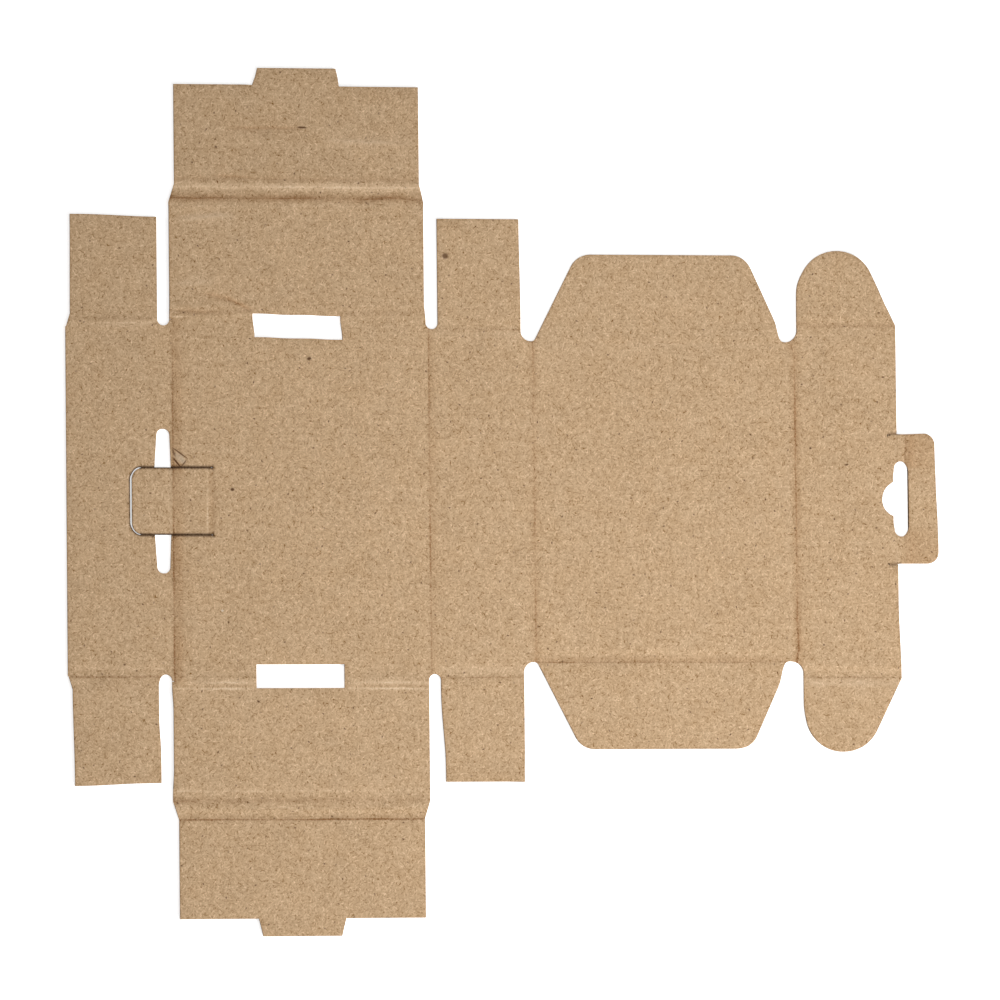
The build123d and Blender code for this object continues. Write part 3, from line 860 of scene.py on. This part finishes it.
def closed_mesh(name, points, triangles, upper, lower, marks):
    """Sheet with two faces and an edge all round, from one flat triangulation and two heights."""
    used, flat = np.unique(triangles, return_inverse=True)
    flat = flat.reshape(-1, 3)
    count = len(used)
    moved = nudged(points[used])
    moved[:, 1] += pull_of_slits(points[used])
    top = np.column_stack([moved, upper[used]])
    bottom = np.column_stack([moved, lower[used]])
    half_edges = np.concatenate([flat[:, [0, 1]], flat[:, [1, 2]], flat[:, [2, 0]]])
    key = np.sort(half_edges, axis=1)
    _, first, times = np.unique(key, axis=0, return_index=True, return_counts=True)
    rim = half_edges[first[times == 1]]
    walls = np.column_stack([rim[:, 1], rim[:, 0], rim[:, 0] + count, rim[:, 1] + count])
    faces = flat.tolist() + (flat[:, ::-1] + count).tolist() + walls.tolist()
    mesh = bpy.data.meshes.new(name)
    corners = np.concatenate([top, bottom])
    mesh.from_pydata((corners * MM).tolist(), [], faces)
    mesh.polygons.foreach_set("use_smooth", np.ones(len(faces), bool))
    add_values(mesh, "rest", "FLOAT_VECTOR", corners * MM)
    for label, values in marks.items():
        add_values(mesh, label, "FLOAT", np.tile(values[used], 2))
    sharpen_rim(mesh, rim, count)
    mesh.validate()
    return in_scene(name, mesh)


def in_scene(name, data):
    """A new object of the scene."""
    made = bpy.data.objects.new(name, data)
    bpy.context.scene.collection.objects.link(made)
    return made


def add_values(mesh, label, kind, values):
    """Stores one value or vector for each vertex, for the materials."""
    attribute = mesh.attributes.new(label, kind, "POINT")
    entry = "vector" if kind == "FLOAT_VECTOR" else "value"
    attribute.data.foreach_set(entry, np.asarray(values, np.float32).ravel())


def sharpen_rim(mesh, rim, count):
    """Marks the edges between the faces and the sheet's narrow edge as sharp."""
    sharp = {tuple(sorted(pair)) for pair in rim.tolist()}
    sharp |= {(low + count, high + count) for low, high in sharp}
    flags = [tuple(sorted(edge.vertices)) in sharp for edge in mesh.edges]
    attribute = mesh.attributes.new("sharp_edge", "BOOLEAN", "EDGE")
    attribute.data.foreach_set("value", flags)


def hold(piece, fold, body):
    """The piece rides on its body if it has no fold; otherwise its place is baked into its mesh."""
    if fold is None:
        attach(piece, body)
        return
    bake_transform(piece)


def flutes_of(node):
    """The fluted paper of a node as an editable mesh in millimetres. Where the node holds all three
    papers, the faces of the outer two are left out: they lie outside the middle, or in flat parts."""
    mesh = frame["nodes"][node].data
    shape = bmesh.new()
    corners = [shape.verts.new(vertex.co / MM) for vertex in mesh.vertices]
    for polygon in mesh.polygons:
        shape.faces.new([corners[index] for index in polygon.vertices])
    low = LINER - TOLERANCE
    high = BOARD - LINER + TOLERANCE
    outer = [face for face in shape.faces if not all(low < corner.co.z < high for corner in face.verts)]
    bmesh.ops.delete(shape, geom=outer, context="FACES")
    bmesh.ops.remove_doubles(shape, verts=shape.verts, dist=TOLERANCE / 2)
    left = set(shape.faces)
    flat = []
    while left:
        part = connected(left.pop())
        left -= part
        heights = [corner.co.z for face in part for corner in face.verts]
        if max(heights) - min(heights) < BOARD / 2:
            flat += part
    bmesh.ops.delete(shape, geom=flat, context="FACES")
    return shape


def connected(face):
    """All faces that hang together with one face."""
    part = {face}
    new = {face}
    while new:
        new = {other for known in new for corner in known.verts for other in corner.link_faces} - part
        part |= new
    return part


def fluting(body, folds, relief, material):
    """The fluted paper of one panel: the CAD's flutes, pressed flatter wherever the inside face dips."""
    end_margin = 0.1
    clearance = 0.01
    node = [name for name in nodes_of(body) if name.endswith("fluting") or len(nodes_of(body)) == 1][0]
    shape = flutes_of(node)
    low, high = (corner.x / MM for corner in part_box(node))
    cuts = {round(fold.place + row, 2) for fold in folds if fold.across == 0 for row in rows_of(fold)}
    cuts |= set(np.arange(low, high, FLUTE_STEP))
    for cut in sorted(cuts):
        if low + end_margin < cut < high - end_margin:
            everything = shape.verts[:] + shape.edges[:] + shape.faces[:]
            bmesh.ops.bisect_plane(shape, geom=everything, dist=TOLERANCE / 2, plane_co=(cut, 0, 0),
                                   plane_no=(1, 0, 0))
    flat = np.array([vertex.co[:2] for vertex in shape.verts])
    room = relief.at(flat).top - 2 * LINER - clearance
    moved = nudged(flat)
    for index, vertex in enumerate(shape.verts):
        share = (vertex.co.z - LINER) / (BOARD - 2 * LINER)
        vertex.co = (moved[index, 0], moved[index, 1], LINER + share * room[index])
        vertex.co *= MM
    mesh = bpy.data.meshes.new(f"{body}_flutes")
    shape.to_mesh(mesh)
    shape.free()
    piece = in_scene(f"{body}_flutes", mesh)
    mesh.materials.append(material)
    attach(piece, body)
    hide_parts(node)


class Shader:
    """Short calls for building the nodes of one material, or of the world."""

    def __init__(self, owner):
        owner.use_nodes = True
        self.owner = owner
        self.tree = owner.node_tree
        self.tree.nodes.clear()

    def add(self, kind, inputs=None, **settings):
        made = self.tree.nodes.new(kind)
        for label, value in settings.items():
            setattr(made, label, value)
        for label, value in (inputs or {}).items():
            self.feed(made.inputs[label], value)
        return made

    def feed(self, socket, value):
        if isinstance(value, bpy.types.NodeSocket):
            self.tree.links.new(value, socket)
        else:
            socket.default_value = value

    def math(self, operation, *values, clamp=False):
        inputs = dict(enumerate(values))
        return self.add("ShaderNodeMath", inputs, operation=operation, use_clamp=clamp).outputs[0]

    def times(self, first, second):
        return self.math("MULTIPLY", first, second)

    def on_side(self, value, sign):
        """The part of a value above zero, or below it for sign -1, between 0 and 1."""
        return self.math("MULTIPLY", value, sign, clamp=True)

    def combined(self, x, y, z=0.0):
        return self.add("ShaderNodeCombineXYZ", {"X": x, "Y": y, "Z": z}).outputs[0]

    def within(self, where, low, high):
        """1 up to the low distance from the middle and 0 past the high one."""
        length = self.add("ShaderNodeVectorMath", {0: where}, operation="LENGTH").outputs["Value"]
        return self.math("SUBTRACT", 1.0, self.steps(length, low, high))

    def vector(self, operation, *values):
        return self.add("ShaderNodeVectorMath", dict(enumerate(values)), operation=operation).outputs[0]

    def blend(self, share, first, second, kind="MIX"):
        """Colour blend."""
        inputs = {"Factor": share, 6: first, 7: second}
        return self.add("ShaderNodeMix", inputs, data_type="RGBA", blend_type=kind).outputs[2]

    def steps(self, value, low, high):
        """0 below low, 1 above high, smooth between them."""
        inputs = {"Value": value, "From Min": low, "From Max": high}
        made = self.add("ShaderNodeMapRange", inputs, interpolation_type="SMOOTHSTEP")
        return made.outputs["Result"]

    def attribute(self, label, output="Fac"):
        return self.add("ShaderNodeAttribute", attribute_name=label).outputs[output]

    def place(self, scale, turn=0.0, shift=(0.0, 0.0, 0.0)):
        """Rest coordinates on the blank, turned, then scaled so that 1 is one feature."""
        where = self.attribute("rest", "Vector")
        turned = self.add("ShaderNodeMapping", {"Vector": where, "Rotation": (0, 0, turn)})
        inputs = {"Vector": turned.outputs[0], "Scale": scale, "Location": shift}
        return self.add("ShaderNodeMapping", inputs).outputs[0]

    def noise(self, where, detail=2.0, roughness=0.55, distortion=0.0):
        inputs = {"Vector": where, "Scale": 1.0, "Detail": detail, "Roughness": roughness,
                  "Distortion": distortion}
        return self.add("ShaderNodeTexNoise", inputs).outputs["Fac"]

    def centred(self, value, amount):
        """A noise value turned into a swing about zero."""
        return self.math("MULTIPLY_ADD", value, amount, -amount / 2)

    def total(self, values):
        result = values[0]
        for value in values[1:]:
            result = self.math("ADD", result, value)
        return result


def per(length, other=None):
    """Scale that makes one texture feature as long as the length in millimetres."""
    second = length if other is None else other
    return (1 / (length * MM), 1 / (second * MM), 1 / (length * MM))


@dataclass
class Paper:
    """One kraft paper: its colour in linear light, how strong its grain is, and its own seed."""

    name: str
    colour: tuple
    grain: float = 1.0
    seed: float = 0.0
    spots: tuple = ()


@dataclass
class Fibres:
    """A pattern of short fibres: its cell, a fibre's half length and half width, its own seed, and
    the share of the cells that hold a fibre."""

    cell: float
    half_length: float
    half_width: float
    seed: float
    share: float = 1.0


INSIDE_PAPER = Paper("kraft_inside", (0.53, 0.359, 0.209), spots=SPOTS)
OUTSIDE_PAPER = Paper("kraft_outside", (0.50, 0.338, 0.197), 0.85, 31.0)
# How much of the inside's crushed and scuffed lines, with their painted shade, and of its painted
# shade the outside paper shows
OUTSIDE_WEAR_AND_SHADING = {"ragged_wear_and_shading": 0.4, "shade": 0.5}

DENSE_FIBRES = [Fibres(1.4, 1.1, 0.19, index) for index in range(4)]
DARK_FIBRES = (Fibres(5.5, 1.25, 0.20, 11, 0.55), Fibres(3.1, 0.55, 0.23, 17, 0.75))
PALE_FIBRES = Fibres(4.0, 1.0, 0.17, 23, 0.6)
SPECKS = Fibres(8.5, 0.52, 0.31, 31, 0.4)

# Size of the features of each noise pattern
CLOUD_SIZE = (30.0, 16.0)
TINT_SIZE = 9.0
MOTTLE_SIZE = 4.2
GRAIN_SIZE = 0.85
TORN_SIZE = 0.7
MEDIUM_SIZE = 1.1

# How far each pattern lightens or darkens the paper, and how a lighter or darker fibre shifts
# red, green and blue
CLOUD_SWING = 0.06
MOTTLE_SWING = 0.06
GRAIN_SWING = 0.30
DENSE_SWING = 0.135
DARK_DROP = -0.22
PALE_RISE = 0.09
TONE = (1.0, 0.80, 0.585)
TINT_SWING = 0.02
TINT_BLUE = -0.6

# Depth of the finest relief, and each pattern's share in it
BUMP_DEPTH = 0.07
GRAIN_BUMP = 0.8
FINE_BUMP = 0.3
MEDIUM_BUMP_DEPTH = 0.06

# Colours of specks and spots, of the painted shade and painted light beside creases and wrinkles,
# of the crushed and scuffed lines along them, which carry painted shade and painted light too, of
# cut edges, of the crushed edges and painted shade of slits, and of the fluted paper, in linear light
SPECK_COLOUR = (0.12, 0.058, 0.027, 1)
PALE_SPOT_COLOUR = (0.66, 0.55, 0.42, 1)
PAINTED_SHADE = (0.56, 0.34, 0.12, 1)
PAINTED_LIGHT = (0.80, 0.62, 0.44, 1)
WORN_AND_SHADED = (0.50, 0.31, 0.13, 1)
SCUFFED_AND_LIT = (0.76, 0.59, 0.41, 1)
CUT_EDGE = (0.84, 0.76, 0.66, 1)
CUT_EDGE_SHARE = 0.5
SLIT_PAINTED_SHADE_AND_CRUSH = (0.055, 0.028, 0.012, 1)
MEDIUM_DARK = (0.25, 0.155, 0.085, 1)
MEDIUM_PALE = (0.46, 0.31, 0.18, 1)


def kraft(paper):
    """Brown kraft paper: mottled, with light and dark fibres and specks, crushed and scuffed creases,
    painted shade and painted light along creases and wrinkles, and painted shade in the slits.
    """
    shader = Shader(bpy.data.materials.new(paper.name))
    seed = paper.seed
    shift = (seed, seed / 2, 0)
    cloud = shader.noise(shader.place(per(*CLOUD_SIZE), shift=shift))
    mottle = shader.noise(shader.place(per(MOTTLE_SIZE), shift=shift), roughness=0.6)
    grain = shader.noise(shader.place(per(GRAIN_SIZE), shift=shift), roughness=0.7, distortion=0.25)
    tints = shader.noise(shader.place(per(TINT_SIZE), turn=0.5, shift=(seed + 5, seed, 0)))
    dense = [fibre_layer(shader, fibres, seed) for fibres in DENSE_FIBRES]
    dark = shader.math("MAXIMUM", *(sparse_fibres(shader, fibres, seed) for fibres in DARK_FIBRES))
    pale = sparse_fibres(shader, PALE_FIBRES, seed)
    noises = ((cloud, CLOUD_SWING), (mottle, MOTTLE_SWING), (grain, GRAIN_SWING))
    fibres = [(layer, DENSE_SWING) for layer in dense] + [(dark, DARK_DROP), (pale, PALE_RISE)]
    level = shader.total([shader.centred(value, swing * paper.grain) for value, swing in noises]
                         + [shader.times(value, amount * paper.grain) for value, amount in fibres])
    colour = shader.vector("MULTIPLY_ADD", shader.combined(level, level, level), TONE, paper.colour)
    tint = shader.centred(tints, TINT_SWING)
    warm = shader.combined(tint, 0.0, shader.times(tint, TINT_BLUE))
    colour = shader.vector("ADD", colour, warm)

    specks = sparse_fibres(shader, SPECKS, seed)
    if paper.spots:
        dark_spots, pale_spots = placed_spots(shader, paper.spots)
        specks = shader.math("MAXIMUM", specks, dark_spots)
        colour = shader.blend(pale_spots, colour, PALE_SPOT_COLOUR)
    colour = shader.blend(specks, colour, SPECK_COLOUR)

    # The painted shade and painted light of creases and wrinkles, their crushed and scuffed lines, which
    # hold painted shade and painted light too, darker cut edges, and the crushed edges and painted shade of
    # slits
    wear_and_shading = shader.attribute("ragged_wear_and_shading")
    torn = shader.noise(shader.place(per(TORN_SIZE), turn=0.3, shift=shift), roughness=0.7, distortion=0.8)
    shade = shader.times(shader.attribute("shade"), shader.math("ADD", grain, 0.5))
    marks_and_painted_shading = (
        (shader.on_side(shade, 1), PAINTED_SHADE, "MULTIPLY"),
        (shader.on_side(shade, -1), PAINTED_LIGHT, "MIX"),
        (ragged(shader, wear_and_shading, torn, 1), WORN_AND_SHADED, "MULTIPLY"),
        (ragged(shader, wear_and_shading, torn, -1), SCUFFED_AND_LIT, "MIX"),
        (shader.times(shader.attribute("edge"), CUT_EDGE_SHARE), CUT_EDGE, "MULTIPLY"),
        (shader.attribute("slit"), SLIT_PAINTED_SHADE_AND_CRUSH, "MULTIPLY"),
    )
    for share, tone, kind in marks_and_painted_shading:
        colour = shader.blend(share, colour, tone, kind)

    bumps = ((grain, GRAIN_BUMP), (mottle, FINE_BUMP), (dense[0], FINE_BUMP), (dense[1], FINE_BUMP),
             (dark, -FINE_BUMP))
    height = shader.total([shader.times(value, amount) for value, amount in bumps])
    finish(shader, colour, height, bump_strength=0.5, bump_depth=BUMP_DEPTH)
    return shader.owner


def ragged(shader, wear_and_shading, torn, sign):
    """A crease's ragged line, its edges torn along the fibres: sign 1 gives the darker line of crushed
    paper with painted shade, -1 the paler line of scuffs with painted light.
    """
    torn_swing = 1.5
    strength = shader.on_side(wear_and_shading, sign)
    uneven = shader.math("ADD", strength, shader.centred(torn, torn_swing))
    line = shader.steps(uneven, 0.12, 0.95)
    return shader.times(line, shader.steps(strength, 0.03, 0.5))


def fibre_cells(shader, fibres, paper_seed):
    """One short fibre in each cell of a random pattern: its strength, and two random numbers."""
    most_bend = 0.9
    seed = paper_seed + fibres.seed
    where = shader.place(per(fibres.cell), turn=0.7 * seed, shift=(seed * 3.1, seed * 1.7, 0))
    pattern = {"Vector": where, "Scale": 1.0}
    cells = shader.add("ShaderNodeTexVoronoi", pattern, voronoi_dimensions="2D").outputs
    chance = shader.add("ShaderNodeSeparateColor", {"Color": cells["Color"]}).outputs
    spin = {"Vector": where, "Center": cells["Position"], "Angle": shader.times(chance[0], math.pi)}
    turned = shader.add("ShaderNodeVectorRotate", spin, rotation_type="Z_AXIS").outputs[0]
    local = shader.vector("SUBTRACT", turned, cells["Position"])
    parts = shader.add("ShaderNodeSeparateXYZ", {"Vector": local}).outputs
    along = shader.times(parts[0], fibres.cell / fibres.half_length)
    bend = shader.times(shader.times(along, along), most_bend)
    bent = shader.times(bend, shader.math("SUBTRACT", chance[2], 0.5))
    aside = shader.math("MULTIPLY_ADD", parts[1], fibres.cell / fibres.half_width, bent)
    return shader.within(shader.combined(along, aside), 0.45, 1.35), chance[1], chance[2]


def fibre_layer(shader, fibres, paper_seed):
    """Dense fibres, from dark to light, at random angles."""
    solid, chance, _ = fibre_cells(shader, fibres, paper_seed)
    return shader.times(solid, shader.math("MULTIPLY_ADD", chance, 2.0, -1.0))


def sparse_fibres(shader, fibres, paper_seed):
    """Single fibres: only a share of the cells holds one, each with its own strength."""
    weakest = 0.4
    solid, chance, other = fibre_cells(shader, fibres, paper_seed)
    present = shader.math("LESS_THAN", chance, fibres.share)
    strength = shader.math("MULTIPLY_ADD", other, 1 - weakest, weakest)
    return shader.times(shader.times(solid, present), strength)


def placed_spots(shader, spots):
    """The spots and scuffs that lie at set places: dark ones and pale ones."""
    where = shader.attribute("rest", "Vector")
    totals = {1: 0.0, -1: 0.0}
    for spot in spots:
        inputs = {
            "Vector": where,
            "Location": (spot.x * MM, spot.y * MM, 0),
            "Rotation": (0, 0, math.radians(spot.angle)),
            "Scale": (spot.half_length * MM, spot.half_width * MM, 1.0),
        }
        local = shader.add("ShaderNodeMapping", inputs, vector_type="TEXTURE").outputs[0]
        shown = shader.times(shader.within(local, 0.5, 1.25), abs(spot.amount))
        sign = 1 if spot.amount > 0 else -1
        totals[sign] = shader.math("MAXIMUM", shown, totals[sign])
    return totals[1], totals[-1]


def finish(shader, colour, height, bump_strength, bump_depth):
    """Matt paper surface with a fine relief."""
    relief = {"Strength": bump_strength, "Distance": bump_depth * MM, "Height": height}
    surface = shader.add("ShaderNodeBsdfPrincipled", {
        "Base Color": colour,
        "Roughness": 0.88,
        "Specular IOR Level": 0.14,
        "Sheen Weight": 0.03,
        "Sheen Roughness": 0.6,
        "Normal": shader.add("ShaderNodeBump", relief).outputs[0],
    })
    shader.add("ShaderNodeOutputMaterial", {"Surface": surface.outputs[0]})


def medium():
    """Fluted paper: darker, recycled and coarse."""
    shader = Shader(bpy.data.materials.new("kraft_medium"))
    where = shader.add("ShaderNodeTexCoord").outputs["Object"]
    sized = shader.add("ShaderNodeMapping", {"Vector": where, "Scale": per(MEDIUM_SIZE)})
    fine = shader.noise(sized.outputs[0], detail=3.0, roughness=0.6)
    colour = shader.blend(fine, MEDIUM_DARK, MEDIUM_PALE)
    finish(shader, colour, fine, bump_strength=0.4, bump_depth=MEDIUM_BUMP_DEPTH)
    return shader.owner


def build_box():
    """The whole blank: two papers for each panel, and the fluting between them."""
    folds = folds_from_frame()
    fold_of = {fold.child: fold for fold in folds}
    blank = Blank()
    edges = sort_edges(blank, folds)
    points, triangles, owner = triangulate(blank, folds, edges)
    piece = pieces_of_blank(blank, folds, points, triangles, owner)
    relief = Relief(blank, folds, edges)
    face = relief.at(points)
    inner = kraft(INSIDE_PAPER)
    outer = kraft(OUTSIDE_PAPER)
    flutes = medium()
    under_top = face.top - LINER - face.filled * (face.top - 2 * LINER)
    outer_low = CRUSH_BELOW * face.marks["edge"]
    outer_top = np.full(len(points), LINER)
    # The outside paper takes a share of the inside's darker lines and painted shade
    outer_marks = dict(face.marks)
    for label, share in OUTSIDE_WEAR_AND_SHADING.items():
        outer_marks[label] = np.maximum(face.marks[label], 0) * share
    for index, body in enumerate(blank.bodies):
        own = triangles[piece == index]
        fold = fold_of.get(body)
        nodes = nodes_of(body)
        top = closed_mesh(f"{body}_inside_paper", points, own, face.top, under_top, face.marks)
        bottom = closed_mesh(f"{body}_outside_paper", points, own, outer_top, outer_low, outer_marks)
        for made, layer, material in ((top, LAYERS[2], inner), (bottom, LAYERS[0], outer)):
            made.data.materials.append(material)
            hold(made, fold, body)
            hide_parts(*[node for node in nodes if node.endswith(layer)] or nodes)
        fluting(body, folds, relief, flutes)


# Strength of the even light from all round, and of the brightening that keeps the table white
# around the box. The table's brightening leaves a pale shadow.
WORLD_LIGHT = 0.115
TABLE_GLOW = 0.68


def table():
    """White table top that keeps the box's shadow."""
    side = 8.0
    gap = 0.02 * MM
    bpy.ops.mesh.primitive_plane_add(size=side, calc_uvs=False, location=(0, 0, -gap))
    floor = bpy.context.object
    floor.name = "table_top"
    shader = Shader(bpy.data.materials.new("white_table"))
    glow = shader.times(seen_directly(shader), TABLE_GLOW)
    matt = shader.add("ShaderNodeBsdfDiffuse", {"Color": (0.93, 0.93, 0.93, 1)})
    shine = shader.add("ShaderNodeEmission", {"Color": (1, 1, 1, 1), "Strength": glow})
    both = shader.add("ShaderNodeAddShader", {0: matt.outputs[0], 1: shine.outputs[0]})
    shader.add("ShaderNodeOutputMaterial", {"Surface": both.outputs[0]})
    floor.data.materials.append(shader.owner)


def seen_directly(shader):
    """1 for what the camera, a reflection or a see-through surface shows, and 0 for light."""
    path = shader.add("ShaderNodeLightPath").outputs
    seen = shader.math("MAXIMUM", path["Is Camera Ray"], path["Is Glossy Ray"])
    return shader.math("MAXIMUM", seen, path["Is Transmission Ray"])


def surround():
    """Even light from all round, which shows as plain white."""
    world = bpy.data.worlds.new("surround")
    bpy.context.scene.world = world
    shader = Shader(world)
    strength = shader.math("MULTIPLY_ADD", seen_directly(shader), 1.0 - WORLD_LIGHT, WORLD_LIGHT)
    inputs = {"Color": (1, 1, 1, 1), "Strength": strength}
    background = shader.add("ShaderNodeBackground", inputs)
    shader.add("ShaderNodeOutputWorld", {"Surface": background.outputs[0]})


def lamp(name, place, aim, size, power):
    """Soft square lamp that points at a spot on the blank."""
    light = bpy.data.lights.new(name, "AREA")
    light.shape = "SQUARE"
    light.size = size
    light.energy = power
    made = in_scene(name, light)
    made.location = place
    made.rotation_mode = "QUATERNION"
    made.rotation_quaternion = (Vector(aim) - Vector(place)).to_track_quat("-Z", "Y")


def lights():
    """Low key light from the photo's lower right, a weak one overhead, and a fill low at the left."""
    lamp("key", place=(1.502, -1.544, 1.187), aim=(0.08, 0.0, 0.0), size=0.62, power=62.0)
    lamp("overhead", place=(0.158, -0.034, 0.406), aim=(0.158, -0.034, 0.0), size=0.4, power=0.735)
    lamp("fill", place=(-1.95, 0.25, 0.30), aim=(0.05, 0.0, 0.0), size=0.6, power=13.5)


def camera():
    """Camera where the photo was taken from: four metres away, 11 degrees off the vertical."""
    target = Vector((0.070, 0.0, 0.0))
    distance = 4.0324
    azimuth = math.radians(199.06)
    tilt = math.radians(10.88)
    roll = math.radians(-0.58)
    focal_pixels = 9546.6
    target_pixel = (465.03, 501.56)
    frame_pixels = 1000.0
    flat = Vector((math.cos(azimuth), math.sin(azimuth), 0))
    away = math.sin(tilt) * flat + math.cos(tilt) * Vector((0, 0, 1))
    right = (-away).cross(Vector((0, 1, 0))).normalized()
    up = right.cross(-away)
    right_rolled = math.cos(roll) * right + math.sin(roll) * up
    up_rolled = math.cos(roll) * up - math.sin(roll) * right
    offset_x = (frame_pixels / 2 - target_pixel[0]) / focal_pixels
    offset_y = (target_pixel[1] - frame_pixels / 2) / focal_pixels
    forward = (-away + offset_x * right_rolled + offset_y * up_rolled).normalized()
    side = forward.cross(up_rolled).normalized()
    head = side.cross(forward)
    data = bpy.data.cameras.new("photo_camera")
    data.sensor_width = 36.0
    data.lens = focal_pixels / frame_pixels * data.sensor_width
    data.clip_end = 50.0
    made = in_scene("photo_camera", data)
    turn = Matrix((side, head, -forward)).transposed().to_4x4()
    made.matrix_world = Matrix.Translation(target + away * distance) @ turn
    bpy.context.scene.camera = made


camera()
lights()
table()
surround()
build_box()
bpy.context.scene.view_settings.view_transform = "Standard"
